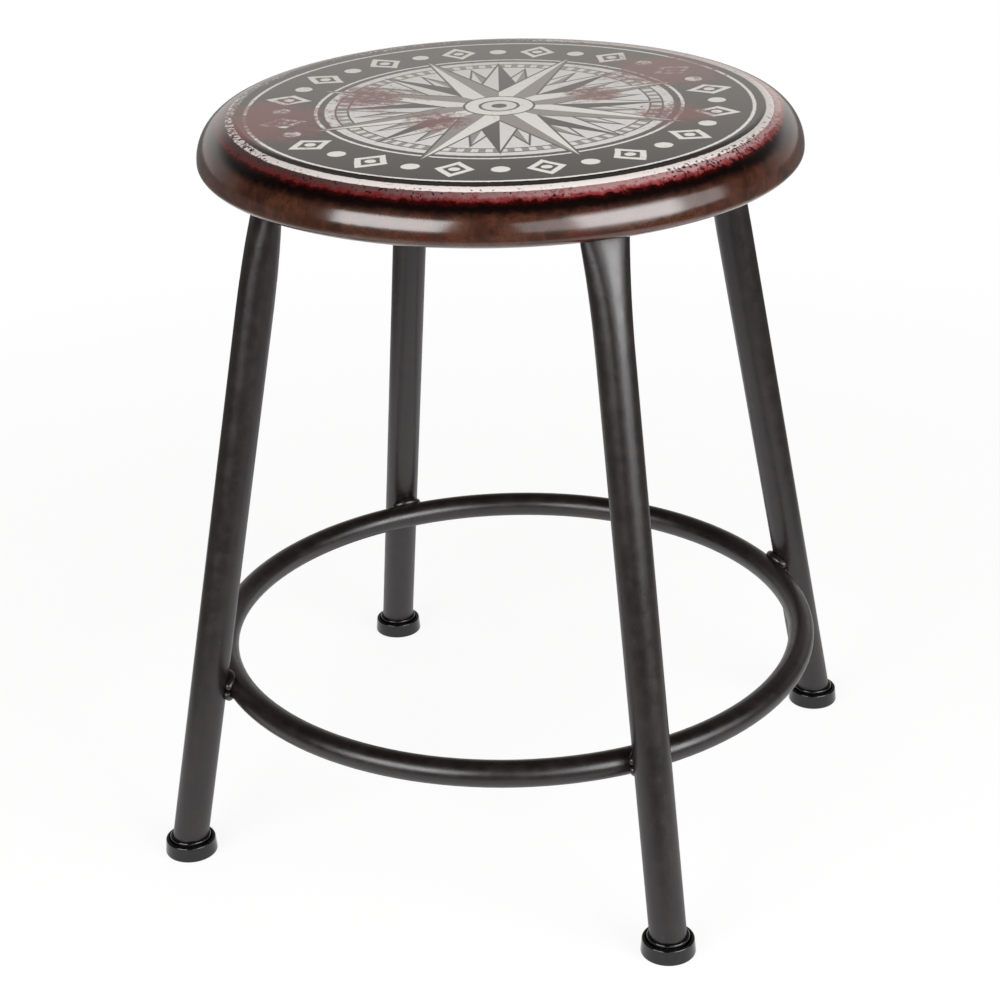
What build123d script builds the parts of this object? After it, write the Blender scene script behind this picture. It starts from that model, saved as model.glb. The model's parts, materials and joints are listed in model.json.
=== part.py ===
from build123d import *
from math import cos, degrees, pi, radians, sin, sqrt, tan
import os

# Metal stool: a pressed steel seat on four splayed tube legs, tied together by a foot ring.
# Millimetres, +Z up. The origin lies on the floor, under the middle of the seat.
# The legs stand on the diagonals. What belongs to a leg is built on +X and turned to its place.

# Seat pan, pressed from one sheet
seat_height = 450.0  # floor to the top of the seat
seat_diameter = 353.8  # across the widest line of the rounded edge
pan_sheet = 1.0
shoulder_width = 24.3  # rounded upper edge, across
shoulder_drop = 24.3  # rounded upper edge, down to the widest line
tuck_width = 13.6  # tighter curve below the widest line, across
tuck_drop = 7.7  # tighter curve below the widest line, down
lip_width = 9.0  # flat rim turned in under the seat
lip_curl_radius = 2.5  # safety edge, curled up inside the seat

# Stiffener, a shallow dish spot welded under the top of the pan
stiffener_sheet = 1.5
stiffener_depth = 13.0  # from the underside of the pan's top down to where the legs bear
stiffener_edge_gap = 2.0  # from the flange to where the pan starts to curve
stiffener_flange = 11.0
stiffener_wall_run = 7.0  # how far a sloping wall spreads
stiffener_bend_radius = 3.0
stiffener_boss_radius = 26.0  # raised middle that props the pan

# Legs, round tube pressed flat at the top and bent in to make a bolting tab
leg_places = ("front_right", "back_right", "back_left", "front_left")  # in order around the stool
leg_diameter = 22.0
leg_wall = 1.5
leg_splay = 11.12  # degrees from upright
leg_to_lip = 9.7  # from the edge of the lip in to the leg's centre line
crimp_length = 81.5  # length over which the round tube goes flat
crimp_slit = 0.2  # left between the pressed walls where the bore ends
crimp_sections = 8
strap_run = 4.5  # flat strap between the crimp and the bend
bend_radius = 5.5  # on the strap's centre line
tab_length = 42.0  # from the corner of the bend's centre line to the tip
tab_corner_radius = 12.0
bolt_inset = 26.0  # from that corner to the bolt

# Foot ring, one bent tube welded to the inner sides of the legs
ring_tube_diameter = 16.0
ring_wall = 1.2
ring_height = 108.7  # floor to the tube's centre line
root_gap = 0.3  # left between ring and leg for the weld to run into
seam_leg = "back_left"  # leg beside which the bent tube's two ends meet
seam_shift = 2.5  # along the ring, from that leg to the seam
seam_width = 0.8
seam_bead = 0.15  # how far the seam weld stands proud
weld_throat = 3.8  # distance between the two tubes' faces where a bead lies
weld_bite = 0.9  # how far a bead laps onto each face
weld_reach = 7.5  # half the length of a bead, across the leg

# Feet, moulded saucers with a stem that plugs into the tube
foot_diameter = 32.5
foot_height = 10.0
foot_taper = 0.8  # drawn in towards the top, on the radius
foot_floor = 4.5  # thickness under the tube's end
foot_edge_radius = 1.2
foot_gap = 1.8  # between the tube and the rim
stem_length = 26.0  # along the leg, from the ground
stem_clearance = 0.4
rib_clearance = 0.05
rib_width = 1.5
rib_pitch = 5.0
rib_count = 3

# Fasteners, one bolt with its washers and weld nut for each leg
bolt_diameter = 6.0
bolt_head_width = 10.0  # across flats
bolt_head_height = 4.0
bolt_point = 1.0  # past the nut
bolt_clearance = 1.0  # in the tab and the stiffener, on the diameter
thread_clearance = 0.2  # in the nut, on the diameter
nut_width = 10.0  # across flats
nut_height = 5.0
washer_diameter = 12.0
washer_thickness = 1.6
washer_clearance = 0.4  # on the diameter
spring_washer_diameter = 11.0
spring_washer_thickness = 1.6
spring_washer_slit = 1.0
spring_washer_slant = 20.0  # degrees

# Cutters run this many times as deep as what they cut
overcut = 4.0

# Levels and radii that follow from the sizes above
seat_radius = seat_diameter / 2
pan_underside = seat_height - pan_sheet
pan_widest = seat_height - shoulder_drop
pan_bottom = pan_widest - tuck_drop
flat_radius = seat_radius - shoulder_width
tuck_radius = seat_radius - tuck_width
curl_radius_line = tuck_radius - lip_width
lip_inner_radius = curl_radius_line - lip_curl_radius

half_step = 180 / len(leg_places)
leg_azimuths = {place: half_step * (2 * number - 1) for number, place in enumerate(leg_places)}
leg_radius = leg_diameter / 2
leg_bore_radius = leg_radius - leg_wall
tab_thickness = 2 * leg_wall
tab_top = pan_underside - stiffener_depth
tab_level = tab_top - tab_thickness / 2
tab_bottom = tab_top - tab_thickness
plate_top = tab_top + stiffener_sheet
strap_width = pi * leg_bore_radius + tab_thickness
splay = radians(leg_splay)
leg_up = Vector(-sin(splay), 0, cos(splay))
leg_outward = Vector(cos(splay), 0, sin(splay))
crimp_top_run = bend_radius * tan((pi / 2 - splay) / 2) + strap_run


def leg_axis_radius(level):
    """Distance from the stool's axis to a leg's centre line, at a height."""
    return lip_inner_radius - leg_to_lip + (pan_bottom - level) * tan(splay)


leg_top_radius = leg_axis_radius(tab_level)
bolt_circle_radius = leg_top_radius - bolt_inset
bolt_hole_radius = (bolt_diameter + bolt_clearance) / 2
leg_frame = Plane(origin=(leg_top_radius, 0, tab_level), x_dir=leg_outward, z_dir=leg_up)
leg_below_corner = tab_level / cos(splay)

ring_tube_radius = ring_tube_diameter / 2
ring_radius = leg_axis_radius(ring_height) - (leg_radius + ring_tube_radius + root_gap) / cos(splay)


def turned(shape, azimuth):
    """The shape, turned about the stool's axis."""
    return Rot(0, 0, azimuth) * shape


def for_each_leg(shape):
    """Separate copies of the shape, one beside each leg."""
    return Compound(children=[turned(shape, azimuth) for azimuth in leg_azimuths.values()])


def seat_pan():
    """Flat top, round shoulder, tighter tuck, and a lip whose edge curls up inside."""
    curl_level = pan_bottom + lip_curl_radius
    inner_curl_radius = lip_curl_radius - pan_sheet
    lip_inside = pan_bottom + pan_sheet
    shoulder_centre = (flat_radius, pan_widest)
    tuck_centre = (tuck_radius, pan_widest)
    curl_centre = (curl_radius_line, curl_level)
    outside = [
        Line((0, seat_height), (flat_radius, seat_height)),
        EllipticalCenterArc(shoulder_centre, shoulder_width, shoulder_drop, 0, arc_size=90),
        EllipticalCenterArc(tuck_centre, tuck_width, tuck_drop, 270, arc_size=90),
        Line((tuck_radius, pan_bottom), (curl_radius_line, pan_bottom)),
        CenterArc(curl_centre, lip_curl_radius, 90, 180),
    ]
    edge = Line(
        (curl_radius_line, curl_level + lip_curl_radius),
        (curl_radius_line, curl_level + inner_curl_radius),
    )
    inside = [
        CenterArc(curl_centre, inner_curl_radius, 90, 180),
        Line((curl_radius_line, lip_inside), (tuck_radius, lip_inside)),
        EllipticalCenterArc(tuck_centre, tuck_width - pan_sheet, tuck_drop - pan_sheet, 270, arc_size=90),
        EllipticalCenterArc(
            shoulder_centre, shoulder_width - pan_sheet, shoulder_drop - pan_sheet, 0, arc_size=90
        ),
        Line((flat_radius, pan_underside), (0, pan_underside)),
    ]
    middle = Line((0, pan_underside), (0, seat_height))
    return revolve(Plane.XZ * make_face([*outside, edge, *inside, middle]), Axis.Z)


def seat_stiffener():
    """Shallow dish: its flange and raised middle touch the pan, its floor carries the legs."""
    flange_radius = flat_radius - stiffener_edge_gap
    wall_top_radius = flange_radius - stiffener_flange
    upper = [
        (0, pan_underside),
        (stiffener_boss_radius, pan_underside),
        (stiffener_boss_radius + stiffener_wall_run, plate_top),
        (wall_top_radius - stiffener_wall_run, plate_top),
        (wall_top_radius, pan_underside),
        (flange_radius, pan_underside),
    ]
    lower = [(radius, level - stiffener_sheet) for radius, level in upper]
    pressed = [FilletPolyline(*face, radius=stiffener_bend_radius) for face in (upper, lower)]
    ends = [Line(upper[0], lower[0]), Line(upper[-1], lower[-1])]
    section = make_face([edge for face in (*pressed, *ends) for edge in face.edges()])
    dish = revolve(Plane.XZ * section, Axis.Z)
    hole = Pos(bolt_circle_radius, 0, plate_top) * Cylinder(bolt_hole_radius, overcut * stiffener_sheet)
    for azimuth in leg_azimuths.values():
        dish -= turned(hole, azimuth)
    return dish


def flattened_end(inset, slit):
    """Bar pressed from round to a flat oval of the same girth, along the local Z axis."""
    bottom = -crimp_top_run - crimp_length
    widening = (strap_width / 2) ** 2 - leg_radius**2
    thinning = leg_radius**2 - leg_wall**2
    sections = []
    for step in range(crimp_sections + 1):
        share = step / crimp_sections
        half_width = leg_radius + (strap_width / 2 - leg_radius) * share**2
        half_thickness = sqrt(leg_radius**2 - (half_width**2 - leg_radius**2) * thinning / widening)
        oval = Ellipse(half_width - inset, half_thickness - inset + share * slit / 2)
        sections.append(Pos(0, 0, bottom + crimp_length * share) * oval)
    return Rot(0, 0, 90) * loft(sections)


def round_bar(radius):
    """Straight round length below the crimp, along the local Z axis, running past the floor."""
    top = -crimp_top_run - crimp_length
    length = leg_below_corner + top + leg_diameter
    return Pos(0, 0, top) * Cylinder(radius, length, align=(Align.CENTER, Align.CENTER, Align.MAX))


def leg_tab():
    """Flat strap that leaves the crimp, bends level and ends in a rounded tab."""
    start = leg_frame.from_local_coords(Vector(0, 0, -crimp_top_run))
    tip = Vector(leg_top_radius - tab_length, 0, tab_level)
    path = FilletPolyline(start, leg_frame.origin, tip, radius=bend_radius)
    section = Plane(origin=start, x_dir=(0, 1, 0), z_dir=leg_up) * Rectangle(strap_width, tab_thickness)
    strap = sweep(section, path)
    tip_edges = strap.edges().filter_by(Axis.Z).group_by(Axis.X)[0]
    strap = fillet(tip_edges, tab_corner_radius)
    hole = Cylinder(bolt_hole_radius, overcut * tab_thickness)
    return strap - Pos(bolt_circle_radius, 0, tab_level) * hole


def leg():
    """Tube cut level where it stands in its foot, flattened above and bent in under the seat."""
    outside = round_bar(leg_radius) + flattened_end(0, 0)
    bore = round_bar(leg_bore_radius) + flattened_end(leg_wall, crimp_slit)
    tube = leg_frame * (outside - bore) + leg_tab()
    return split(tube, bisect_by=Plane.XY.offset(foot_floor), keep=Keep.TOP)


def ring_seam(width, outer_radius, inner_radius):
    """Disc across the ring's tube, where its two ends meet."""
    disc = Cylinder(outer_radius, width) - Cylinder(inner_radius, overcut * width)
    seam_azimuth = leg_azimuths[seam_leg] + degrees(seam_shift / ring_radius)
    return turned(Pos(ring_radius, 0, ring_height) * Rot(90, 0, 0) * disc, seam_azimuth)


def foot_ring():
    """Tube bent into a circle, with a narrow gap between its two ends."""
    hollow = Torus(ring_radius, ring_tube_radius) - Torus(ring_radius, ring_tube_radius - ring_wall)
    gap = ring_seam(seam_width, ring_tube_diameter, 0)
    return Pos(0, 0, ring_height) * hollow - gap


def bead_point(across, side):
    """Point midway between ring and leg, across the leg, where their faces lie a throat apart."""
    leg_recess = leg_radius - sqrt(leg_radius**2 - across**2)
    ring_face = ring_tube_radius + root_gap + leg_recess - weld_throat
    rise = side * sqrt(ring_tube_radius**2 - ring_face**2)
    middle = leg_outward * (ring_face + weld_throat / 2) + leg_up * rise
    return Vector(ring_radius, across, ring_height) + middle


def ring_weld():
    """Round-ended beads over and under the place where the ring meets a leg."""
    bead_radius = weld_throat / 2 + weld_bite
    leg_bar = leg_frame * round_bar(leg_radius)
    ring_bar = Pos(0, 0, ring_height) * Torus(ring_radius, ring_tube_radius)
    beads = []
    for side in (1, -1):
        path = ThreePointArc(*[bead_point(across, side) for across in (-weld_reach, 0, weld_reach)])
        bead = sweep(Plane(origin=path @ 0, z_dir=path % 0) * Circle(bead_radius), path)
        for end in (path @ 0, path @ 1):
            bead += Pos(*end) * Sphere(bead_radius)
        beads.append(bead - leg_bar - ring_bar)
    return beads[0] + beads[1]


def foot():
    """Level saucer under the tube, with a ribbed stem that follows the leg's slope."""
    bottom_radius = foot_diameter / 2
    top_radius = bottom_radius - foot_taper
    recess_radius = leg_radius / cos(splay) + foot_gap
    rim_radius = (top_radius - recess_radius) / 2
    rim_level = foot_height - rim_radius
    saucer_profile = make_face(
        [
            Line((0, 0), (bottom_radius, 0)),
            Line((bottom_radius, 0), (top_radius, rim_level)),
            CenterArc((recess_radius + rim_radius, rim_level), rim_radius, 0, 180),
            Line((recess_radius, rim_level), (recess_radius, foot_floor)),
            Line((recess_radius, foot_floor), (0, foot_floor)),
            Line((0, foot_floor), (0, 0)),
        ]
    )
    saucer = revolve(Plane.XZ * saucer_profile, Axis.Z)
    saucer = fillet(saucer.edges().group_by(Axis.Z)[0], foot_edge_radius)
    upward = (Align.CENTER, Align.CENTER, Align.MIN)
    stem = Cylinder(leg_bore_radius - stem_clearance, stem_length, align=upward)
    for number in range(rib_count):
        rib = Cylinder(leg_bore_radius - rib_clearance, rib_width, align=upward)
        stem += Pos(0, 0, stem_length - rib_width - rib_pitch * (number + 1 / 2)) * rib
    stem_frame = Plane(origin=(leg_axis_radius(0), 0, 0), x_dir=leg_outward, z_dir=leg_up)
    stem = split(stem_frame * stem, bisect_by=Plane.XY.offset(foot_floor / 2), keep=Keep.TOP)
    return Pos(leg_axis_radius(foot_height), 0, 0) * saucer + stem


def hexagon(width):
    """Hexagon by its width across flats."""
    return RegularPolygon(width / 2, 6, major_radius=False)


def weld_nut():
    """Hexagon nut welded to the top of the stiffener's floor."""
    body = extrude(hexagon(nut_width), nut_height)
    bore = Cylinder((bolt_diameter + thread_clearance) / 2, overcut * nut_height)
    return Pos(bolt_circle_radius, 0, plate_top) * (body - bore)


def washer_ring(diameter, thickness):
    """Flat ring around the bolt, its top at the local origin."""
    ring = Circle(diameter / 2) - Circle((bolt_diameter + washer_clearance) / 2)
    return extrude(ring, -thickness)


def flat_washer():
    """Plain washer against the tab."""
    return Pos(bolt_circle_radius, 0, tab_bottom) * washer_ring(washer_diameter, washer_thickness)


def spring_washer():
    """Split washer below the plain one, its slit on a slant."""
    ring = washer_ring(spring_washer_diameter, spring_washer_thickness)
    cutter = Box(spring_washer_slit, spring_washer_diameter, overcut * spring_washer_thickness)
    slit = Pos(0, spring_washer_diameter / 2) * Rot(0, spring_washer_slant, 0) * cutter
    return Pos(bolt_circle_radius, 0, tab_bottom - washer_thickness) * (ring - slit)


def seat_bolt():
    """Hexagon bolt that passes up through washers, tab and stiffener into the weld nut."""
    head_top = tab_bottom - washer_thickness - spring_washer_thickness
    shank_length = plate_top + nut_height + bolt_point - head_top
    head = extrude(hexagon(bolt_head_width), -bolt_head_height)
    shank = extrude(Circle(bolt_diameter / 2), shank_length)
    return Pos(bolt_circle_radius, 0, head_top) * (head + shank)


def stool_parts():
    """Every node of the stool, by name."""
    seam_weld = ring_seam(seam_width, ring_tube_radius + seam_bead, ring_tube_radius - ring_wall)
    parts = {
        "seat_pan": seat_pan(),
        "seat_stiffener": seat_stiffener(),
        "foot_ring": foot_ring(),
        "ring_seam_weld": seam_weld,
        "weld_nuts": for_each_leg(weld_nut()),
        "flat_washers": for_each_leg(flat_washer()),
        "spring_washers": for_each_leg(spring_washer()),
        "seat_bolts": for_each_leg(seat_bolt()),
    }
    one_leg, one_weld, one_foot = leg(), ring_weld(), foot()
    for place, azimuth in leg_azimuths.items():
        parts[f"leg_{place}"] = turned(one_leg, azimuth)
        parts[f"ring_weld_{place}"] = turned(one_weld, azimuth) - seam_weld
        parts[f"foot_{place}"] = turned(one_foot, azimuth)
    return parts


os.makedirs("parts", exist_ok=True)
for node, shape in stool_parts().items():
    export_step(shape, f"parts/{node}.step")
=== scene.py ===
import json
from math import cos, pi, radians, sin, sqrt

import bmesh
import bpy
from mathutils import Matrix, Vector


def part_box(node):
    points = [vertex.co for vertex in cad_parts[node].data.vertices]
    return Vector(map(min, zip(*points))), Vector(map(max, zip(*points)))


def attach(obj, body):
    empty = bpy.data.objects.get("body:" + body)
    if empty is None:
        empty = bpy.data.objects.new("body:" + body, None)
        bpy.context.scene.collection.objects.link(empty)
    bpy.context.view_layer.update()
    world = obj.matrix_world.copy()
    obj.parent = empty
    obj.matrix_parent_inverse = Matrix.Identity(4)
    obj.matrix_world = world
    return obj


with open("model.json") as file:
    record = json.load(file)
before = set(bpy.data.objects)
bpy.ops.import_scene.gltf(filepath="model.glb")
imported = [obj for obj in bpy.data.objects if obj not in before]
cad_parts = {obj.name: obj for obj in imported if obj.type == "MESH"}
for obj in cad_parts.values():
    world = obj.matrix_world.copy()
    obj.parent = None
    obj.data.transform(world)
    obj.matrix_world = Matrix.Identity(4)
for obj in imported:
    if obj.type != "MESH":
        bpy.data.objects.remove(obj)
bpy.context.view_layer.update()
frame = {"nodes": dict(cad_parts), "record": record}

metres = 0.001  # in one millimetre


def node_box(node):
    """Lowest and highest corner of a CAD node, in millimetres."""
    return [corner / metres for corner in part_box(node)]


# Sizes that the frame gives, in millimetres
seat_height = node_box("seat_pan")[1].z
seat_radius = node_box("seat_pan")[1].x
flange_radius = node_box("seat_stiffener")[1].x
flange_top = node_box("seat_stiffener")[1].z
ring_low, ring_high = node_box("foot_ring")
ring_tube_radius = (ring_high.z - ring_low.z) / 2
ring_radius = ring_high.x - ring_tube_radius
ring_height = (ring_high.z + ring_low.z) / 2

# Sizes of the same construction that no box tells, in millimetres and degrees
shoulder_width = 24.3
shoulder_drop = 24.3
stiffener_sheet = 1.5
flange_width = 11.0
boss_radius = 26.0
leg_azimuths = {"front_right": -45.0, "back_right": 45.0, "back_left": 135.0, "front_left": 225.0}
leg_splay = 11.12
leg_radius = 11.0
root_gap = 0.3  # between ring and leg where they come nearest
weld_throat = 3.8
weld_reach = 7.5  # half the length of a bead
foot_circle_radius = 222.3

flat_radius = seat_radius - shoulder_width
widest_level = seat_height - shoulder_drop

# Where the camera stands round the stool, in degrees from straight in front
view_azimuth = 22.573
view_front = Vector((sin(radians(view_azimuth)), -cos(radians(view_azimuth)), 0.0))
view_right = Vector((cos(radians(view_azimuth)), sin(radians(view_azimuth)), 0.0))

smooth = {"interpolation_type": "SMOOTHSTEP"}


# Tools

def linear(colour):
    """Linear RGBA of an sRGB hex colour."""
    shares = [int(colour[place:place + 2], 16) / 255 for place in (1, 3, 5)]
    return (*[c / 12.92 if c <= 0.04045 else ((c + 0.055) / 1.055) ** 2.4 for c in shares], 1.0)


def add(tree, kind, *inputs, named=None, **settings):
    """Add a node, set its settings, and feed its inputs with values, sockets or nodes."""
    node = tree.nodes.new(kind)
    for name, value in settings.items():
        setattr(node, name, value)
    for place, value in [*enumerate(inputs), *(named or {}).items()]:
        if isinstance(value, bpy.types.Node):
            value = value.outputs[0]
        if isinstance(value, bpy.types.NodeSocket):
            tree.links.new(value, node.inputs[place])
        else:
            node.inputs[place].default_value = value
    return node


def new_material(name):
    """A material with an empty node tree, and that tree."""
    material = bpy.data.materials.new(name)
    material.use_nodes = True
    material.node_tree.nodes.clear()
    return material, material.node_tree


def object_millimetres(tree):
    """Position on the piece in millimetres, and its separate parts."""
    place = add(tree, "ShaderNodeTexCoord").outputs["Object"]
    scaled = add(tree, "ShaderNodeVectorMath", place, operation="SCALE", named={"Scale": 1 / metres})
    return scaled, add(tree, "ShaderNodeSeparateXYZ", scaled)


# Printed and lacquered seat, with the print's sizes in millimetres

print_soft = 0.35  # half the width of an ink's soft edge
print_shift = 5.5  # the print sits a little off the seat's middle, towards the camera
dark_field_radius = 101.0
line_width = 2.0
line_radii = (105.0, 146.0)
motif_count = 16
motif_circle = 126.0
lozenge_half_length = 11.0
lozenge_half_width = 14.0
lozenge_hollow = 0.6  # size of the hollow as a share of the lozenge
lozenge_dot = 3.2
between_dot = 5.2
tick_count = 72
tick_inner = 88.0
tick_outer = 94.0
fine_line = 1.2
outline_width = 1.3
hub_radii = (21.0, 19.6, 12.0, 10.2, 4.5)

# Stars of the rose: number of points, and radius of the tips and of the valleys
fine_star = (16, 80.0, 44.0)
cross_star = (8, 92.0, 34.0)
main_star = (8, 112.0, 30.0)

# White border of the print, and the row of pits along it
border_inner = 153.6
border_outer = 158.2
pits_inner = 155.5
pits_outer = 164.0
pits_soft = 1.0

# Colours down the rounded edge: where one starts, and where it has taken over
edge_band = (156.8, 158.4)
red_band = (161.3, 163.3)
dark_red_band = (163.3, 165.6)
burnt_band = (165.6, 167.6)
brown_band = (169.5, 174.5)

# Rust that has bled through the print: where it is, and how far it reaches
rust_patches = (
    (-115.0, -75.0, 66.0), (-78.0, -10.0, 40.0), (-18.0, -45.0, 30.0),
    (45.0, 36.0, 26.0), (68.0, 99.0, 56.0), (104.0, 10.0, 34.0))

# Sides of the seat where the border is spared, and where it is pitted most
spared_side = 0.65 * view_front + 0.75 * view_right
pitted_side = 0.6 * view_front + 0.8 * view_right

# Patterns of the wear, each with a scale of one over its size in millimetres
rust_blotches = {"Scale": 1 / 17, "Detail": 9.0, "Roughness": 0.82}
rust_flakes = {"Scale": 1 / 5, "Detail": 6.0, "Roughness": 0.68}
rust_specks = {"Scale": 1 / 2.2, "Detail": 4.0, "Roughness": 0.6}
speck_cover = {"Scale": 1 / 26, "Detail": 2.0}
ragged_ink = {"Scale": 1 / 3, "Detail": 3.0, "Roughness": 0.6}
torn_ink = {"Scale": 1 / 5, "Detail": 5.0, "Roughness": 0.7}
edge_flames = {"Scale": 1 / 3.2, "Detail": 4.0, "Roughness": 0.65}
brown_streaks = {"Scale": 1 / 13, "Detail": 6.0, "Roughness": 0.65}
brown_clouds = {"Scale": 1 / 22, "Detail": 4.0, "Roughness": 0.6, "Distortion": 0.4}
brown_grain = {"Scale": 1 / 2.8, "Detail": 4.0, "Roughness": 0.6}
border_chips = {"Scale": 1 / 2.6, "Detail": 3.0, "Roughness": 0.6}
border_patches = {"Scale": 1 / 45, "Detail": 2.0}
border_pits = {"Scale": 1 / 1.9, "Detail": 1.0}
lacquer_waves = {"Scale": 1 / 16, "Detail": 1.0}

# How strongly one pattern or place acts on another, and how far two patterns push the ink's edges
patch_spread = 1.2
patch_weight = 0.26
cover_weight = 0.3
bare_weight = 0.6
pit_weight = 0.35
ragged_reach = 1.2
torn_reach = 9.0

# Masks: a lower and an upper value of what a mask reads, and how much shows at each
wash_mask = (0.58, 0.74, 0.0, 0.72)
flake_mask = (0.69, 0.73, 0.0, 0.85)
speck_mask = (0.82, 0.88, 0.0, 0.75)
# Side where the red line turns paler: partly rubbed ink, partly a painted highlight
rubbed_and_lit_side_mask = (-0.8, 0.8, 0.0, 1.0)
flame_mask = (0.52, 0.66, 0.0, 0.7)
streak_mask = (0.3, 0.7, 0.0, 1.0)
cloud_mask = (0.5, 0.72, 0.0, 0.8)
grain_mask = (0.5, 0.75, 0.0, 0.6)
burnt_mask = (20.0, 28.0, 0.5, 0.0)
spared_mask = (-0.9, 0.3, -0.26, 0.2)
whole_mask = (0.03, 0.1, 0.0, 0.92)
thick_mask = (0.86, 0.97, 0.0, 0.07)
pit_mask = (0.83, 0.87, 0.0, 0.9)
gloss_mask = (-1.0, 5.0, 0.05, 1.0)
# Painted sheen: the flat's colour turns pale at a glancing angle
painted_sheen_mask = (0.64, 0.83, 0.0, 0.7)


def band(tree, value, inner, outer, soft=print_soft):
    """Mask that is 1 between two limits, with soft edges."""
    rise = add(tree, "ShaderNodeMapRange", value, inner - soft, inner + soft, 0.0, 1.0, **smooth)
    fall = add(tree, "ShaderNodeMapRange", value, outer - soft, outer + soft, 1.0, 0.0, **smooth)
    return add(tree, "ShaderNodeMath", rise, fall, operation="MULTIPLY")


def spokes(tree, angle, count, turn):
    """Angle from the nearest of several spokes, and the side of that spoke as 0 or 1."""
    step = 2 * pi / count
    turned = add(tree, "ShaderNodeMath", angle, -turn, operation="ADD")
    fold = add(tree, "ShaderNodeMath", turned, step / 2, operation="PINGPONG")
    share = add(tree, "ShaderNodeMath", turned, 1 / step, operation="MULTIPLY")
    cycle = add(tree, "ShaderNodeMath", share, operation="FRACT")
    side = add(tree, "ShaderNodeMath", cycle, 0.5, operation="LESS_THAN")
    return fold, side


def star(tree, radius, angle, count, tip, valley, turn):
    """Distance outside a straight-edged star, in millimetres, and which half of a point one is on."""
    fold, side = spokes(tree, angle, count, turn)
    valley_x = valley * cos(pi / count)
    valley_y = valley * sin(pi / count)
    length = sqrt((tip - valley_x) ** 2 + valley_y ** 2)
    across = (tip - valley_x) / length
    along = valley_y / length
    cosine = add(tree, "ShaderNodeMath", fold, operation="COSINE")
    sine = add(tree, "ShaderNodeMath", fold, operation="SINE")
    x = add(tree, "ShaderNodeMath", radius, cosine, operation="MULTIPLY")
    y = add(tree, "ShaderNodeMath", radius, sine, operation="MULTIPLY")
    forward = add(tree, "ShaderNodeMath", x, along, -tip * along, operation="MULTIPLY_ADD")
    outside = add(tree, "ShaderNodeMath", y, across, forward, operation="MULTIPLY_ADD")
    return outside, side


def around(tree, radius, angle, turn):
    """Distances along and across the circle of motifs, from the nearest of their places on it."""
    step = 2 * pi / motif_count
    turned = add(tree, "ShaderNodeMath", angle, -turn, operation="ADD")
    share = add(tree, "ShaderNodeMath", turned, 1 / step, operation="MULTIPLY")
    cycle = add(tree, "ShaderNodeMath", share, operation="FRACT")
    spacing = step * motif_circle
    along = add(tree, "ShaderNodeMath", cycle, spacing, -spacing / 2, operation="MULTIPLY_ADD")
    across = add(tree, "ShaderNodeMath", radius, -motif_circle, operation="ADD")
    return (add(tree, "ShaderNodeMath", along, operation="ABSOLUTE"),
            add(tree, "ShaderNodeMath", across, operation="ABSOLUTE"))


def lozenge(tree, along, across, size):
    """Mask of a lozenge round the places that two distances give, of a size between 0 and 1."""
    half_length = size * lozenge_half_length
    half_width = size * lozenge_half_width
    share = add(tree, "ShaderNodeMath", along, 1 / half_length, operation="MULTIPLY")
    total = add(tree, "ShaderNodeMath", across, 1 / half_width, share, operation="MULTIPLY_ADD")
    soft = print_soft / min(half_length, half_width)
    return add(tree, "ShaderNodeMapRange", total, 1 - soft, 1 + soft, 1.0, 0.0, **smooth)


def dot(tree, along, across, size):
    """Mask of a round dot round the places that two distances give."""
    place = add(tree, "ShaderNodeCombineXYZ", along, across)
    reach = add(tree, "ShaderNodeVectorMath", place, operation="LENGTH").outputs["Value"]
    return add(tree, "ShaderNodeMapRange", reach, size - print_soft, size + print_soft, 1.0, 0.0, **smooth)


def printed_design(tree, radius, angle):
    """Colour of the print: a dark band of lozenges and dots, round a pale field with a rose of rays."""
    charcoal = linear("#211b17")
    pale = linear("#e6e6e4")
    white = linear("#f3f0ec")
    grey = linear("#8c8783")
    turn = pi / motif_count
    dark_field = add(tree, "ShaderNodeMapRange", radius, dark_field_radius - print_soft,
                     dark_field_radius + print_soft, 0.0, 1.0, **smooth)
    along, across = around(tree, radius, angle, 0.0)
    between_along, between_across = around(tree, radius, angle, turn)
    ticks = add(tree, "ShaderNodeMath", band(tree, radius, tick_inner, tick_outer),
                spokes(tree, angle, tick_count, 0.0)[1], operation="MULTIPLY")
    layers = [(dark_field, charcoal)]
    layers += [(band(tree, radius, line, line + line_width), white) for line in line_radii]
    layers += [
        (lozenge(tree, along, across, 1.0), white),
        (lozenge(tree, along, across, lozenge_hollow), charcoal),
        (dot(tree, along, across, lozenge_dot), white),
        (dot(tree, between_along, between_across, between_dot), white),
        (ticks, grey),
        (band(tree, radius, tick_inner - fine_line, tick_inner), charcoal),
        (band(tree, radius, tick_outer, tick_outer + fine_line), charcoal),
    ]

    # Three stars, one over the other, each point with a facet of its own ink on either side
    for shape, star_turn, inks in (
            (fine_star, turn, (grey, pale)),
            (cross_star, 2 * turn, (charcoal, pale)),
            (main_star, 0.0, (grey, white))):
        outside, side = star(tree, radius, angle, *shape, star_turn)
        facet = add(tree, "ShaderNodeMixRGB", side, *inks)
        for limit, ink in ((outline_width, charcoal), (0.0, facet)):
            mask = add(tree, "ShaderNodeMapRange", outside, limit - print_soft, limit + print_soft,
                       1.0, 0.0, **smooth)
            layers.append((mask, ink))

    # Discs in the middle, the smaller over the larger
    for reach, ink in zip(hub_radii, (charcoal, white, charcoal, pale, charcoal)):
        disc = add(tree, "ShaderNodeMapRange", radius, reach - print_soft, reach + print_soft,
                   1.0, 0.0, **smooth)
        layers.append((disc, ink))
    colour = pale
    for mask, ink in layers:
        colour = add(tree, "ShaderNodeMixRGB", mask, colour, ink)
    return colour


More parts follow.
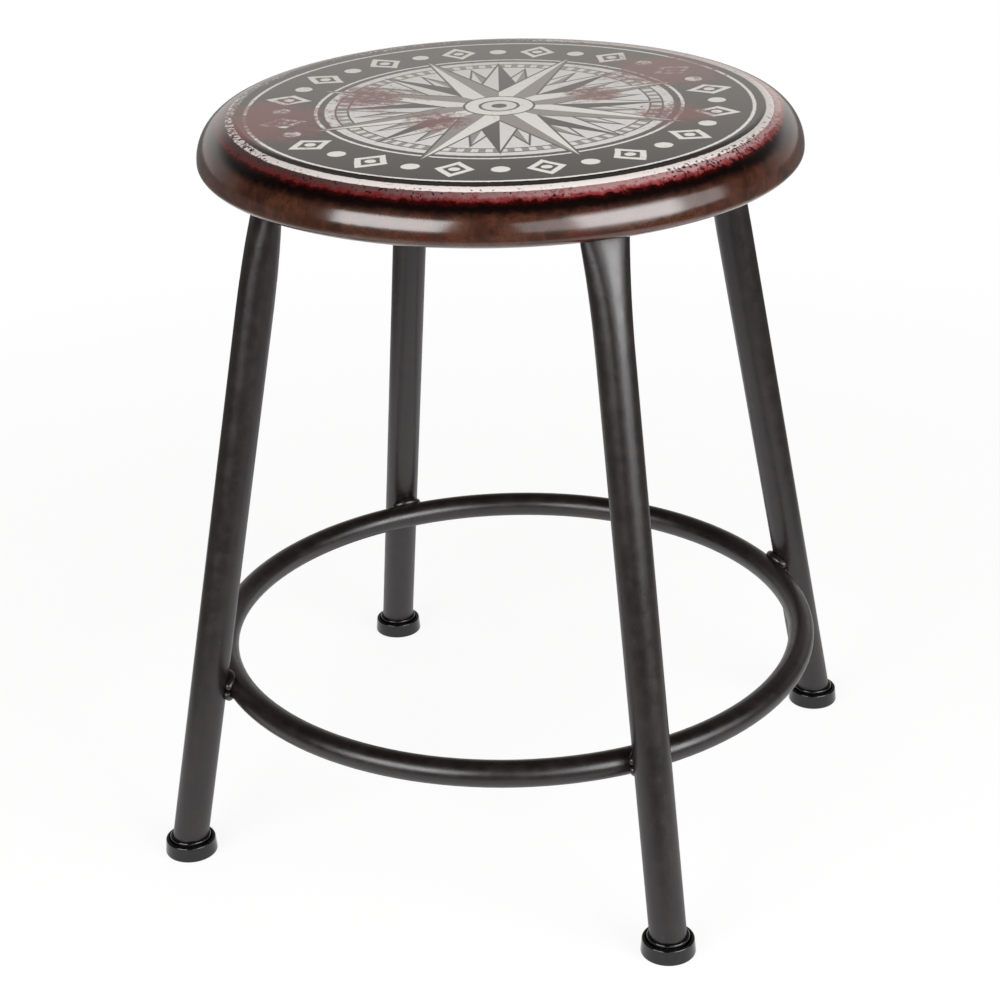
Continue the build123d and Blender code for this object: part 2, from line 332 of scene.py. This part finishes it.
def rusted(tree, place, flat, colour):
    """The print with rust that has bled through in a few places, and with fine specks all over."""
    stain = linear("#742a24")
    rust = linear("#6a1f17")
    patches = 0.0
    for x, y, reach in rust_patches:
        shift = add(tree, "ShaderNodeVectorMath", flat, (-x, -y, 0.0), operation="ADD")
        far = add(tree, "ShaderNodeVectorMath", shift, operation="LENGTH").outputs["Value"]
        near = add(tree, "ShaderNodeMapRange", far, 0.0, patch_spread * reach, 1.0, 0.0, **smooth)
        patches = add(tree, "ShaderNodeMath", near, patches, operation="MAXIMUM")
    blotches = add(tree, "ShaderNodeTexNoise", named={"Vector": place, **rust_blotches})
    bleeding = add(tree, "ShaderNodeMath", patches, patch_weight, blotches, operation="MULTIPLY_ADD")
    flakes = add(tree, "ShaderNodeTexNoise", named={"Vector": place, **rust_flakes})
    flaking = add(tree, "ShaderNodeMath", patches, patch_weight, flakes, operation="MULTIPLY_ADD")
    specks = add(tree, "ShaderNodeTexNoise", named={"Vector": place, **rust_specks})
    cover = add(tree, "ShaderNodeTexNoise", named={"Vector": place, **speck_cover})
    speckled = add(tree, "ShaderNodeMath", cover, cover_weight, specks, operation="MULTIPLY_ADD")
    for value, mask, ink in (
            (bleeding, wash_mask, stain), (flaking, flake_mask, rust), (speckled, speck_mask, rust)):
        shown = add(tree, "ShaderNodeMapRange", value, *mask, **smooth)
        colour = add(tree, "ShaderNodeMixRGB", shown, colour, ink)
    return colour


def stained_edge(tree, place, down, torn, right):
    """Colour of the rounded edge: a rubbed red line, paler on the right with a painted highlight, and a
    burnt one under the print, then mottled brown.
    """
    burnt = linear("#090303")
    # The red line is paler and pinker towards the right: partly rubbed ink, partly a painted highlight of
    # the lamps on that side
    side = add(tree, "ShaderNodeMapRange", right, *rubbed_and_lit_side_mask, **smooth)
    rubbed_and_lit = add(tree, "ShaderNodeMixRGB", side, linear("#3c2626"), linear("#9f7a7b"))
    red = add(tree, "ShaderNodeMixRGB", side, linear("#561a1b"), linear("#7e3638"))
    flames = add(tree, "ShaderNodeTexNoise", named={"Vector": place, **edge_flames})
    flaming = add(tree, "ShaderNodeMapRange", flames, *flame_mask, **smooth)
    edge = add(tree, "ShaderNodeMixRGB", flaming, rubbed_and_lit, red)
    for reach, ink in ((red_band, red), (dark_red_band, linear("#260403")), (burnt_band, burnt)):
        passed = add(tree, "ShaderNodeMapRange", torn, *reach, 0.0, 1.0, **smooth)
        edge = add(tree, "ShaderNodeMixRGB", passed, edge, ink)

    # Brown that is streaked, clouded with red, grained, and darker close under the burnt line
    streaks = add(tree, "ShaderNodeTexNoise", named={"Vector": place, **brown_streaks})
    clouds = add(tree, "ShaderNodeTexNoise", named={"Vector": place, **brown_clouds})
    grain = add(tree, "ShaderNodeTexNoise", named={"Vector": place, **brown_grain})
    brown = linear("#24120b")
    for value, mask, ink in (
            (streaks, streak_mask, linear("#402418")),
            (clouds, cloud_mask, linear("#3c1912")),
            (grain, grain_mask, linear("#1a0d09")),
            (down, burnt_mask, burnt)):
        shown = add(tree, "ShaderNodeMapRange", value, *mask, **smooth)
        brown = add(tree, "ShaderNodeMixRGB", shown, brown, ink)
    browned = add(tree, "ShaderNodeMapRange", torn, *brown_band, 0.0, 1.0, **smooth)
    return add(tree, "ShaderNodeMixRGB", browned, edge, brown)


def bordered(tree, place, outward, radius, true_radius, colour):
    """The print with its white border, chipped or gone on the left and behind, and black pits along it."""
    chips = add(tree, "ShaderNodeTexNoise", named={"Vector": place, **border_chips})
    patches = add(tree, "ShaderNodeTexNoise", named={"Vector": place, **border_patches})
    spared = add(tree, "ShaderNodeVectorMath", outward, spared_side,
                 operation="DOT_PRODUCT").outputs["Value"]
    kept = add(tree, "ShaderNodeMapRange", spared, *spared_mask, **smooth)
    kept = add(tree, "ShaderNodeMath", kept, chips, operation="ADD")
    kept = add(tree, "ShaderNodeMath", patches, -bare_weight, kept, operation="MULTIPLY_ADD")
    whole = add(tree, "ShaderNodeMapRange", kept, *whole_mask, **smooth)
    line = band(tree, radius, border_inner, border_outer)
    border = add(tree, "ShaderNodeMath", line, whole, operation="MULTIPLY")
    colour = add(tree, "ShaderNodeMixRGB", border, colour, linear("#dcd4d1"))

    # Pits, thickest at the front right
    near = add(tree, "ShaderNodeVectorMath", outward, pitted_side,
               operation="DOT_PRODUCT").outputs["Value"]
    thick = add(tree, "ShaderNodeMapRange", near, *thick_mask, **smooth)
    pits = add(tree, "ShaderNodeTexNoise", named={"Vector": place, **border_pits})
    pits = add(tree, "ShaderNodeMath", patches, pit_weight, pits, operation="MULTIPLY_ADD")
    pits = add(tree, "ShaderNodeMath", pits, thick, operation="ADD")
    pits = add(tree, "ShaderNodeMapRange", pits, *pit_mask, **smooth)
    row = band(tree, true_radius, pits_inner, pits_outer, pits_soft)
    pits = add(tree, "ShaderNodeMath", pits, row, operation="MULTIPLY")
    return add(tree, "ShaderNodeMixRGB", pits, colour, linear("#0d0606"))


def down_the_edge(tree, reach, level):
    """Way down the rounded edge from where the flat ends, in millimetres, and below zero on the flat."""
    rise = add(tree, "ShaderNodeMath", level, 1 / shoulder_drop, -widest_level / shoulder_drop,
               operation="MULTIPLY_ADD")
    run = add(tree, "ShaderNodeMath", reach, 1 / shoulder_width, -flat_radius / shoulder_width,
              operation="MULTIPLY_ADD")
    slope = add(tree, "ShaderNodeMath", rise, run, operation="ARCTAN2")
    edge_size = (shoulder_width + shoulder_drop) / 2
    return add(tree, "ShaderNodeMath", slope, -edge_size, edge_size * pi / 2, operation="MULTIPLY_ADD")


def place_in_print(tree, reach, outward, down):
    """Radius and angle in the print, which was laid on the flat sheet and so runs on down the edge."""
    on_flat = add(tree, "ShaderNodeMath", reach, flat_radius, operation="MINIMUM")
    on_edge = add(tree, "ShaderNodeMath", down, 0.0, operation="MAXIMUM")
    unrolled = add(tree, "ShaderNodeMath", on_flat, on_edge, operation="ADD")
    sheet = add(tree, "ShaderNodeVectorMath", outward, operation="SCALE", named={"Scale": unrolled})
    printed = add(tree, "ShaderNodeVectorMath", sheet, -print_shift * view_front, operation="ADD")
    radius = add(tree, "ShaderNodeVectorMath", printed, operation="LENGTH").outputs["Value"]
    parts = add(tree, "ShaderNodeSeparateXYZ", printed).outputs
    return radius, add(tree, "ShaderNodeMath", parts["Y"], parts["X"], operation="ARCTAN2")


def uneven(tree, place, value, pattern, reach):
    """A distance that a pattern pushes up and down, over a reach in millimetres."""
    push = add(tree, "ShaderNodeTexNoise", named={"Vector": place, **pattern})
    pushed = add(tree, "ShaderNodeMath", push, reach, value, operation="MULTIPLY_ADD")
    return add(tree, "ShaderNodeMath", pushed, -reach / 2, operation="ADD")


def inside_of_pan(tree, flat, reach, level):
    """Mask of the pan's inner skin, whose normals point towards the hollow behind the rounded edge."""
    hollow_radius = flat_radius + 2.0
    hollow_level = widest_level + 7.0
    normal = add(tree, "ShaderNodeNewGeometry").outputs["Normal"]
    outward = add(tree, "ShaderNodeVectorMath", flat, operation="NORMALIZE")
    lean = add(tree, "ShaderNodeVectorMath", normal, outward, operation="DOT_PRODUCT").outputs["Value"]
    upright = add(tree, "ShaderNodeSeparateXYZ", normal).outputs["Z"]
    beyond = add(tree, "ShaderNodeMath", reach, -hollow_radius, operation="ADD")
    above = add(tree, "ShaderNodeMath", level, -hollow_level, operation="ADD")
    sideways = add(tree, "ShaderNodeMath", beyond, lean, operation="MULTIPLY")
    facing = add(tree, "ShaderNodeMath", above, upright, sideways, operation="MULTIPLY_ADD")
    return add(tree, "ShaderNodeMath", facing, 0.0, operation="LESS_THAN")


def printed_seat():
    """Printed steel under clear lacquer: worn, rusty ink, dull on the flat with a painted sheen, glossy on
    the round edge.
    """
    material, tree = new_material("lacquered_printed_steel")
    place, parts = object_millimetres(tree)
    level = parts.outputs["Z"]
    flat = add(tree, "ShaderNodeCombineXYZ", parts.outputs["X"], parts.outputs["Y"])
    reach = add(tree, "ShaderNodeVectorMath", flat, operation="LENGTH").outputs["Value"]
    outward = add(tree, "ShaderNodeVectorMath", flat, operation="NORMALIZE")
    right = add(tree, "ShaderNodeVectorMath", outward, view_right, operation="DOT_PRODUCT").outputs["Value"]
    down = down_the_edge(tree, reach, level)
    true_radius, angle = place_in_print(tree, reach, outward, down)
    radius = uneven(tree, place, true_radius, ragged_ink, ragged_reach)
    torn = uneven(tree, place, true_radius, torn_ink, torn_reach)

    colour = printed_design(tree, radius, angle)
    colour = rusted(tree, place, flat, colour)
    edge = stained_edge(tree, place, down, torn, right)
    past_print = add(tree, "ShaderNodeMapRange", torn, *edge_band, 0.0, 1.0, **smooth)
    colour = add(tree, "ShaderNodeMixRGB", past_print, colour, edge)
    colour = bordered(tree, place, outward, radius, true_radius, colour)

    # The lacquer is rubbed dull on the flat, where a painted sheen turns the colour pale at a glancing angle
    # in place of a gloss
    gloss = add(tree, "ShaderNodeMapRange", down, *gloss_mask, **smooth)
    dull = add(tree, "ShaderNodeMath", 1.0, gloss, operation="SUBTRACT")
    glance = add(tree, "ShaderNodeLayerWeight", named={"Blend": 0.5}).outputs["Facing"]
    painted_sheen = add(tree, "ShaderNodeMapRange", glance, *painted_sheen_mask, **smooth)
    painted_sheen = add(tree, "ShaderNodeMath", painted_sheen, dull, operation="MULTIPLY")
    colour = add(tree, "ShaderNodeMixRGB", painted_sheen, colour, linear("#cecbc8"))

    # Inside of the pan, plain dark enamel
    inside = inside_of_pan(tree, flat, reach, level)
    colour = add(tree, "ShaderNodeMixRGB", inside, colour, linear("#1c1412"))

    # Slight waves of the pressed steel and the lacquer
    waves = add(tree, "ShaderNodeTexNoise", named={"Vector": place, **lacquer_waves})
    bump = add(tree, "ShaderNodeBump", named={"Height": waves, "Strength": 0.06, "Distance": 0.6 * metres})
    shader = add(tree, "ShaderNodeBsdfPrincipled", named={
        "Base Color": colour, "Roughness": 0.5, "IOR": 1.5, "Specular IOR Level": 0.0, "Coat Weight": gloss,
        "Coat Roughness": 0.16, "Coat IOR": 1.6, "Normal": bump, "Coat Normal": bump})
    add(tree, "ShaderNodeOutputMaterial", shader)
    return material


# Painted frame, with patterns and masks as on the seat

paint_blotches = {"Scale": 1 / 9, "Detail": 4.0, "Roughness": 0.6}
paint_blotch_mask = (0.4, 0.72, 0.0, 1.0)
paint_roughness = (0.3, 0.7, 0.28, 0.38)
paint_mirror = (0.35, 0.95, 0.6, 0.12)

# Grit and orange peel, which are finer on the stool and drawn coarse enough to show
paint_grit = {"Scale": 1 / 1.6, "Detail": 2.0}
paint_grit_mask = (0.66, 0.76, 0.0, 0.45)
paint_peel = {"Scale": 1 / 1.1, "Detail": 2.0}


def satin_black_paint():
    """Satin black paint baked on steel tube: near black, soft long glints, faint brown blotches and grit."""
    material, tree = new_material("satin_black_paint")
    place = object_millimetres(tree)[0]
    blotches = add(tree, "ShaderNodeTexNoise", named={"Vector": place, **paint_blotches})
    blotched = add(tree, "ShaderNodeMapRange", blotches, *paint_blotch_mask, **smooth)
    colour = add(tree, "ShaderNodeMixRGB", blotched, linear("#110b0c"), linear("#1a1111"))
    grit = add(tree, "ShaderNodeTexNoise", named={"Vector": place, **paint_grit})
    gritty = add(tree, "ShaderNodeMapRange", grit, *paint_grit_mask, **smooth)
    colour = add(tree, "ShaderNodeMixRGB", gritty, colour, linear("#35302d"))
    rough = add(tree, "ShaderNodeMapRange", blotches, *paint_roughness)
    peel = add(tree, "ShaderNodeTexNoise", named={"Vector": place, **paint_peel})
    bump = add(tree, "ShaderNodeBump", named={"Height": peel, "Strength": 0.2, "Distance": 0.2 * metres})

    # The dusty coat hardly mirrors at a glancing angle
    glance = add(tree, "ShaderNodeLayerWeight", named={"Blend": 0.5}).outputs["Facing"]
    mirror = add(tree, "ShaderNodeMapRange", glance, *paint_mirror, **smooth)
    shader = add(tree, "ShaderNodeBsdfPrincipled", named={
        "Base Color": colour, "Roughness": rough, "IOR": 1.5, "Specular IOR Level": mirror, "Normal": bump})
    add(tree, "ShaderNodeOutputMaterial", shader)
    return material


# Rubber feet, with patterns and masks as on the seat

rubber_dust = {"Scale": 1 / 3, "Detail": 4.0, "Roughness": 0.6}
rubber_dust_mask = (0.45, 0.8, 0.0, 1.0)
rubber_roughness = (0.3, 0.7, 0.12, 0.2)
rubber_line_spacing = 2.2


def black_rubber():
    """Moulded black rubber: deep black, half gloss, with faint moulding lines round the side."""
    material, tree = new_material("moulded_black_rubber")
    place, parts = object_millimetres(tree)
    dust = add(tree, "ShaderNodeTexNoise", named={"Vector": place, **rubber_dust})
    dusty = add(tree, "ShaderNodeMapRange", dust, *rubber_dust_mask, **smooth)
    colour = add(tree, "ShaderNodeMixRGB", dusty, linear("#090909"), linear("#141313"))
    level = parts.outputs["Z"]
    phase = add(tree, "ShaderNodeMath", level, 2 * pi / rubber_line_spacing, operation="MULTIPLY")
    lines = add(tree, "ShaderNodeMath", phase, operation="SINE")
    bump = add(tree, "ShaderNodeBump", named={"Height": lines, "Strength": 0.1, "Distance": 0.2 * metres})
    rough = add(tree, "ShaderNodeMapRange", dust, *rubber_roughness)
    shader = add(tree, "ShaderNodeBsdfPrincipled", named={
        "Base Color": colour, "Roughness": rough, "IOR": 1.5, "Normal": bump})
    add(tree, "ShaderNodeOutputMaterial", shader)
    return material


# Fasteners, with patterns and masks as on the seat

zinc_clouds = {"Scale": 1 / 3, "Detail": 3.0}
zinc_cloud_mask = (0.3, 0.7, 0.0, 1.0)
zinc_roughness = (0.3, 0.7, 0.28, 0.45)


def zinc_plate():
    """Zinc plated steel: bright grey metal, clouded where the plating is thin."""
    material, tree = new_material("zinc_plated_steel")
    place = object_millimetres(tree)[0]
    clouds = add(tree, "ShaderNodeTexNoise", named={"Vector": place, **zinc_clouds})
    clouded = add(tree, "ShaderNodeMapRange", clouds, *zinc_cloud_mask, **smooth)
    colour = add(tree, "ShaderNodeMixRGB", clouded, linear("#a9abad"), linear("#c9c8c2"))
    rough = add(tree, "ShaderNodeMapRange", clouds, *zinc_roughness)
    shader = add(tree, "ShaderNodeBsdfPrincipled", named={
        "Base Color": colour, "Metallic": 1.0, "Roughness": rough})
    add(tree, "ShaderNodeOutputMaterial", shader)
    return material


finishes = {
    "seat_enamel": printed_seat(),
    "frame_paint": satin_black_paint(),
    "foot_rubber": black_rubber(),
    "zinc_steel": zinc_plate(),
}
for piece in frame["record"]["subparts"]:
    for holder in frame["nodes"][piece["node"]].material_slots:
        holder.material = finishes[piece["material_slot"]]


# Small repeated pieces, with sizes in millimetres

bead_steps = 8
ripple_spacing = 1.3
ripple_radius = 2.3
ripple_flatness = 0.4
ripple_unevenness = 0.12
collar_level = 10.8
collar_lift = 0.2  # of the middle of the collar's section off the tube
collar_thickness = 3.0
spot_radius = 3.0
spot_half_height = 0.35
flange_spots = 24
boss_spots = 4

# Facets of a drop and of a stud, round and up, and of a hoop, along it and round its section
drop_facets = (20, 12)
stud_facets = (16, 10)
hoop_facets = 72
section_facets = 24


def new_node_tree(name, sizes):
    """Geometry node tree with a base, a number for each named size and a finish, and its inputs."""
    tree = bpy.data.node_groups.new(name, "GeometryNodeTree")
    kinds = {"Base": "NodeSocketGeometry", **sizes, "Finish": "NodeSocketMaterial"}
    for size, kind in kinds.items():
        tree.interface.new_socket(size, in_out="INPUT", socket_type=kind)
    tree.interface.new_socket("Made", in_out="OUTPUT", socket_type="NodeSocketGeometry")
    return tree, add(tree, "NodeGroupInput").outputs


def end_node_tree(tree, copies, finish):
    """End a tree with its copies made real, shaded smooth and given their finish."""
    real = add(tree, "GeometryNodeRealizeInstances", copies)
    even = add(tree, "GeometryNodeSetShadeSmooth", real)
    finished = add(tree, "GeometryNodeSetMaterial", even, named={"Material": finish})
    add(tree, "NodeGroupOutput", finished)


def ripples_tree():
    """Tree that lays overlapping flat drops along a path, as the ripples of a weld bead."""
    tree, size = new_node_tree("ripples", {
        "Spacing": "NodeSocketFloat", "Radius": "NodeSocketFloat", "Flatness": "NodeSocketFloat",
        "Unevenness": "NodeSocketFloat", "Seed": "NodeSocketInt"})
    path = add(tree, "GeometryNodeMeshToCurve", size["Base"])
    places = add(tree, "GeometryNodeCurveToPoints", path, mode="LENGTH", named={"Length": size["Spacing"]})
    drop = add(tree, "GeometryNodeMeshUVSphere", *drop_facets, size["Radius"])

    # Each drop's growth is drawn at random: inputs 2 and 3 are the least and the greatest number
    least = add(tree, "ShaderNodeMath", 1.0, size["Unevenness"], operation="SUBTRACT")
    growth = add(tree, "FunctionNodeRandomValue", named={2: least, 3: 1.0, "Seed": size["Seed"]}).outputs[1]
    shape = add(tree, "ShaderNodeCombineXYZ", growth, growth, size["Flatness"])
    drops = add(tree, "GeometryNodeInstanceOnPoints", places, named={
        "Instance": drop, "Rotation": places.outputs["Rotation"], "Scale": shape})
    end_node_tree(tree, drops, size["Finish"])
    return tree


def studs_tree():
    """Tree that sets a rounded stud on every point."""
    tree, size = new_node_tree("studs", {"Radius": "NodeSocketFloat", "Half Height": "NodeSocketFloat"})
    stud = add(tree, "GeometryNodeMeshUVSphere", *stud_facets, 1.0)
    shape = add(tree, "ShaderNodeCombineXYZ", size["Radius"], size["Radius"], size["Half Height"])
    studs = add(tree, "GeometryNodeInstanceOnPoints", size["Base"], named={"Instance": stud, "Scale": shape})
    end_node_tree(tree, studs, size["Finish"])
    return tree


def hoops_tree():
    """Tree that sets a level hoop of round section about every point."""
    tree, size = new_node_tree("hoops", {
        "Hoop Radius": "NodeSocketFloat", "Section Radius": "NodeSocketFloat"})
    line = add(tree, "GeometryNodeCurvePrimitiveCircle", named={
        "Resolution": hoop_facets, "Radius": size["Hoop Radius"]})
    section = add(tree, "GeometryNodeCurvePrimitiveCircle", named={
        "Resolution": section_facets, "Radius": size["Section Radius"]})
    hoop = add(tree, "GeometryNodeCurveToMesh", line, section)
    hoops = add(tree, "GeometryNodeInstanceOnPoints", size["Base"], named={"Instance": hoop})
    end_node_tree(tree, hoops, size["Finish"])
    return tree


def make_piece(name, tree, slot, paths, sizes):
    """Plain mesh piece that a node tree makes along some paths, in millimetres, or on their points."""
    base = bpy.data.meshes.new(name)
    points = [point * metres for path in paths for point in path]
    edges = []
    first = 0
    for path in paths:
        edges += [(place, place + 1) for place in range(first, first + len(path) - 1)]
        first += len(path)
    base.from_pydata(points, edges, [])
    piece = bpy.data.objects.new(name, base)
    modifier = piece.modifiers.new("made", "NODES")
    modifier.node_group = tree
    for socket in tree.interface.items_tree:
        if socket.name in sizes:
            modifier[socket.identifier] = sizes[socket.name]
        elif socket.name == "Finish":
            modifier[socket.identifier] = finishes[slot]
    bpy.context.scene.collection.objects.link(piece)
    made = bpy.data.meshes.new_from_object(piece.evaluated_get(bpy.context.evaluated_depsgraph_get()))
    piece.modifiers.remove(modifier)
    piece.data = made
    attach(piece, "root")


def bead_path(azimuth, side):
    """Line of a weld bead between ring and leg, over the ring for side 1 and under it for side -1."""
    outward = Vector((cos(radians(leg_splay)), 0.0, sin(radians(leg_splay))))
    up = Vector((-sin(radians(leg_splay)), 0.0, cos(radians(leg_splay))))
    turn = Matrix.Rotation(radians(azimuth), 3, "Z")
    path = []
    for step in range(bead_steps + 1):
        across = weld_reach * (2 * step / bead_steps - 1)
        recess = leg_radius - sqrt(leg_radius ** 2 - across ** 2)
        ring_face = ring_tube_radius + root_gap + recess - weld_throat
        rise = side * sqrt(ring_tube_radius ** 2 - ring_face ** 2)
        tube_middle = Vector((ring_radius, across, ring_height))
        path.append(turn @ (tube_middle + outward * (ring_face + weld_throat / 2) + up * rise))
    return path


def circle_points(level, radius, count, turn=0.0):
    """Points spaced evenly on a level circle about the stool's middle."""
    spread = [turn + 2 * pi * number / count for number in range(count)]
    middle = Vector((0.0, 0.0, level))
    return [middle + radius * Vector((cos(angle), sin(angle), 0.0)) for angle in spread]


ripples = ripples_tree()
studs = studs_tree()
hoops = hoops_tree()
for number, (leg, azimuth) in enumerate(leg_azimuths.items()):
    beads = [bead_path(azimuth, side) for side in (1, -1)]
    make_piece(f"weld_ripples_{leg}", ripples, "frame_paint", beads, {
        "Spacing": ripple_spacing * metres, "Radius": ripple_radius * metres, "Flatness": ripple_flatness,
        "Unevenness": ripple_unevenness, "Seed": number})

    # Collar of the foot, which grips the tube's end and leaves a well inside the rim
    middle = Matrix.Rotation(radians(azimuth), 3, "Z") @ Vector((foot_circle_radius, 0.0, collar_level))
    make_piece(f"foot_collar_{leg}", hoops, "foot_rubber", [[middle]], {
        "Hoop Radius": (leg_radius + collar_lift) * metres, "Section Radius": collar_thickness / 2 * metres})

# Spot welds that hold the stiffener under the seat
flange_underside = flange_top - stiffener_sheet
spots = circle_points(flange_underside, flange_radius - flange_width / 2, flange_spots)
spots += circle_points(flange_underside, boss_radius / 2, boss_spots, pi / boss_spots)
make_piece("spot_welds", studs, "frame_paint", [[spot] for spot in spots], {
    "Radius": spot_radius * metres, "Half Height": spot_half_height * metres})


# Floor, lamps and camera

def white_floor():
    """White floor with a faint soft shadow.

    It is white to the eye all round. In reflections it is a white strip of paper, which fades out in front
    of the stool and on both sides of it. Its masks are in millimetres from the stool's middle.
    """
    floor_radius = 9.0
    floor_facets = 96
    floor_grey = (0.86, 0.86, 0.86, 1.0)
    shadow_mask = (350.0, 1200.0, 0.88, 1.0)
    paper_front_mask = (250.0, 650.0, 1.0, 0.2)
    paper_side_mask = (350.0, 700.0, 1.0, 0.2)
    material, tree = new_material("white_floor")
    place = object_millimetres(tree)[0]
    away = add(tree, "ShaderNodeVectorMath", place, operation="LENGTH").outputs["Value"]
    even = add(tree, "ShaderNodeMapRange", away, *shadow_mask, **smooth)
    rays = add(tree, "ShaderNodeLightPath").outputs
    mirrored = add(tree, "ShaderNodeMath", rays["Is Glossy Ray"], rays["Is Transmission Ray"],
                   operation="MAXIMUM")
    shown = add(tree, "ShaderNodeMath", rays["Is Camera Ray"], even, operation="MULTIPLY")
    share = add(tree, "ShaderNodeMath", shown, mirrored, operation="MAXIMUM")
    forward = add(tree, "ShaderNodeVectorMath", place, view_front, operation="DOT_PRODUCT").outputs["Value"]
    sideways = add(tree, "ShaderNodeVectorMath", place, view_right, operation="DOT_PRODUCT").outputs["Value"]
    aside = add(tree, "ShaderNodeMath", sideways, operation="ABSOLUTE")
    front_end = add(tree, "ShaderNodeMapRange", forward, *paper_front_mask, **smooth)
    side_end = add(tree, "ShaderNodeMapRange", aside, *paper_side_mask, **smooth)
    paper = add(tree, "ShaderNodeMath", front_end, side_end, operation="MULTIPLY")
    level = add(tree, "ShaderNodeMath", rays["Is Camera Ray"], paper, operation="MAXIMUM")
    matt = add(tree, "ShaderNodeBsdfDiffuse", floor_grey)
    glow = add(tree, "ShaderNodeEmission", linear("#ffffff"), level)
    add(tree, "ShaderNodeOutputMaterial", add(tree, "ShaderNodeMixShader", share, matt, glow))
    mesh = bpy.data.meshes.new("floor")
    disc = bmesh.new()
    bmesh.ops.create_circle(disc, cap_ends=True, segments=floor_facets, radius=floor_radius)
    disc.to_mesh(mesh)
    disc.free()
    mesh.materials.append(material)
    floor = bpy.data.objects.new("floor", mesh)
    bpy.context.scene.collection.objects.link(floor)


def soft_box(name, azimuth, elevation, distance, width, height, radiance):
    """Rectangular lamp, in metres, that faces the seat from an azimuth, 0 in front, and an elevation."""
    lamp = bpy.data.lights.new(name, "AREA")
    lamp.shape = "RECTANGLE"
    lamp.size = width
    lamp.size_y = height
    lamp.energy = radiance * pi * width * height
    turn = Matrix.Rotation(radians(azimuth), 4, "Z") @ Matrix.Rotation(radians(90 - elevation), 4, "X")
    holder = bpy.data.objects.new(name, lamp)
    seat_middle = Matrix.Translation((0, 0, widest_level * metres))
    holder.matrix_world = seat_middle @ turn @ Matrix.Translation((0, 0, distance))
    holder.visible_camera = False
    bpy.context.scene.collection.objects.link(holder)


def dim_studio():
    """Studio that is white to the eye, lights the stool softly, and is mirrored as a low pale backdrop."""
    backdrop_side = 0.25  # cosine, from straight behind, of where the backdrop begins
    fill_level = 0.3
    pale_level = 0.85
    dark_level = 0.04
    mirrored_level = 0.97
    faded_share = 0.2
    backdrop_low = sin(radians(12))
    backdrop_high = sin(radians(22))
    world = bpy.data.worlds.new("studio")
    world.use_nodes = True
    tree = world.node_tree
    tree.nodes.clear()
    way = add(tree, "ShaderNodeTexCoord").outputs["Generated"]
    behind = add(tree, "ShaderNodeVectorMath", way, -view_front, operation="DOT_PRODUCT").outputs["Value"]
    height = add(tree, "ShaderNodeSeparateXYZ", way).outputs["Z"]
    light = add(tree, "ShaderNodeMapRange", behind, backdrop_side, 1.0, fill_level, pale_level, **smooth)
    backdrop = add(tree, "ShaderNodeMapRange", behind, backdrop_side, 1.0, dark_level, mirrored_level,
                   **smooth)
    fading = add(tree, "ShaderNodeMapRange", height, backdrop_low, backdrop_high, 1.0, faded_share, **smooth)
    mirrored = add(tree, "ShaderNodeMath", backdrop, fading, operation="MULTIPLY")
    rays = add(tree, "ShaderNodeLightPath").outputs
    level = add(tree, "ShaderNodeMapRange", rays["Is Glossy Ray"], 0.0, 1.0, light, mirrored)
    shown = add(tree, "ShaderNodeMath", level, rays["Is Camera Ray"], operation="MAXIMUM")
    colour = add(tree, "ShaderNodeMixRGB", rays["Is Camera Ray"], linear("#fffaf5"), linear("#ffffff"))
    sky = add(tree, "ShaderNodeBackground", colour, shown)
    add(tree, "ShaderNodeOutputWorld", sky)
    bpy.context.scene.world = world


def set_camera():
    """Camera at the photograph's place, in metres and degrees."""
    distance = 1.3442
    height = 0.8155
    pitch = 24.7285
    yaw = -0.2638
    roll = -1.6749
    sensor = 36.0
    focal_share = 2.36581  # focal length over the sensor's width
    camera = bpy.data.cameras.new("camera")
    camera.sensor_width = sensor
    camera.sensor_fit = "HORIZONTAL"
    camera.lens = sensor * focal_share
    place = view_front * distance + Vector((0.0, 0.0, height))
    heading = Matrix.Rotation(radians(view_azimuth - yaw), 4, "Z")
    turn = heading @ Matrix.Rotation(radians(90 - pitch), 4, "X")
    holder = bpy.data.objects.new("camera", camera)
    holder.matrix_world = Matrix.Translation(place) @ turn @ Matrix.Rotation(radians(roll), 4, "Z")
    bpy.context.scene.collection.objects.link(holder)
    bpy.context.scene.camera = holder


white_floor()
soft_box("left_box", azimuth=-17.5, elevation=14.2, distance=1.77, width=1.32, height=0.81, radiance=9.0)
soft_box("right_box", azimuth=68.0, elevation=12.4, distance=1.77, width=1.29, height=1.1, radiance=3.7)
soft_box("right_core", azimuth=68.0, elevation=12.0, distance=1.77, width=1.2, height=0.8, radiance=3.3)
soft_box("right_wide_box", azimuth=68.0, elevation=12.0, distance=1.8, width=2.97, height=0.9, radiance=2.6)
dim_studio()
set_camera()
bpy.context.scene.view_settings.view_transform = "Standard"
